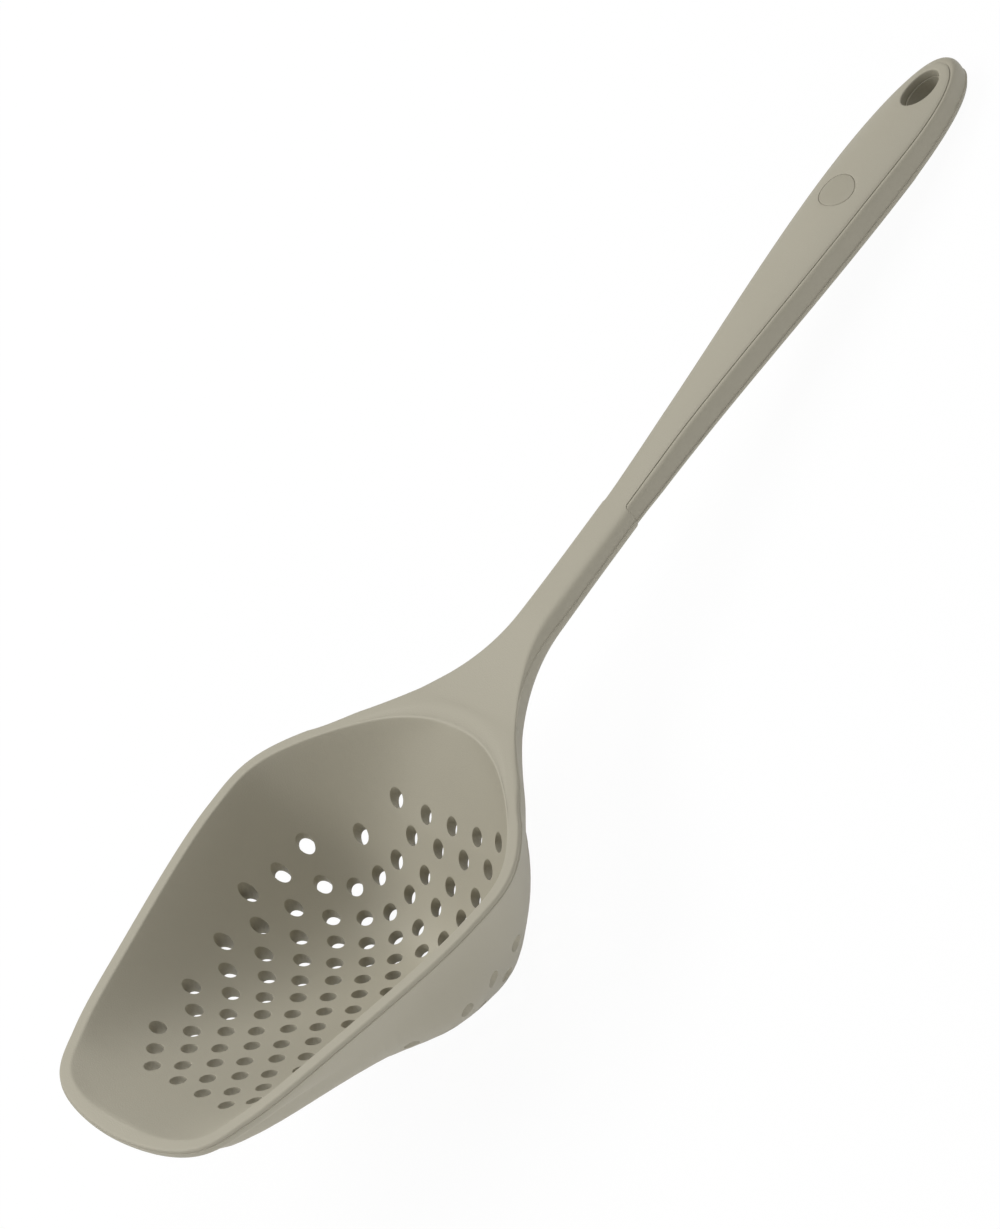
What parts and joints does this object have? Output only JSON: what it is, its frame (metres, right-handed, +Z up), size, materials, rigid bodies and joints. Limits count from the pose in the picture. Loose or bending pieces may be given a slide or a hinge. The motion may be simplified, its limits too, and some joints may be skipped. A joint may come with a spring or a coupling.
{
  "type": "scoop skimmer",
  "caption": "Matte silicone scoop skimmer: deep perforated bowl with a blunt lip and flat rim, oval neck, flat handle that widens to a rounded end with a hanging hole.",
  "frame": {"origin": "middle of the tool's bounding box, on the surface it lies on", "axes": "+X from the bowl's lip to the end of the handle, +Y to the left, +Z up from the surface"},
  "size_m": [0.3766, 0.1134, 0.0727],
  "materials": {
    "silicone": "matte, fine-grained, warm grey-beige",
    "nylon": "satin, same tone as the silicone",
    "badge": "smooth, plain"
  },
  "bodies": {
    "root": {"silicone_bowl_front": "silicone", "silicone_back": "silicone", "nylon_core": "nylon", "badge_disc": "badge"}
  },
  "joints": []
}
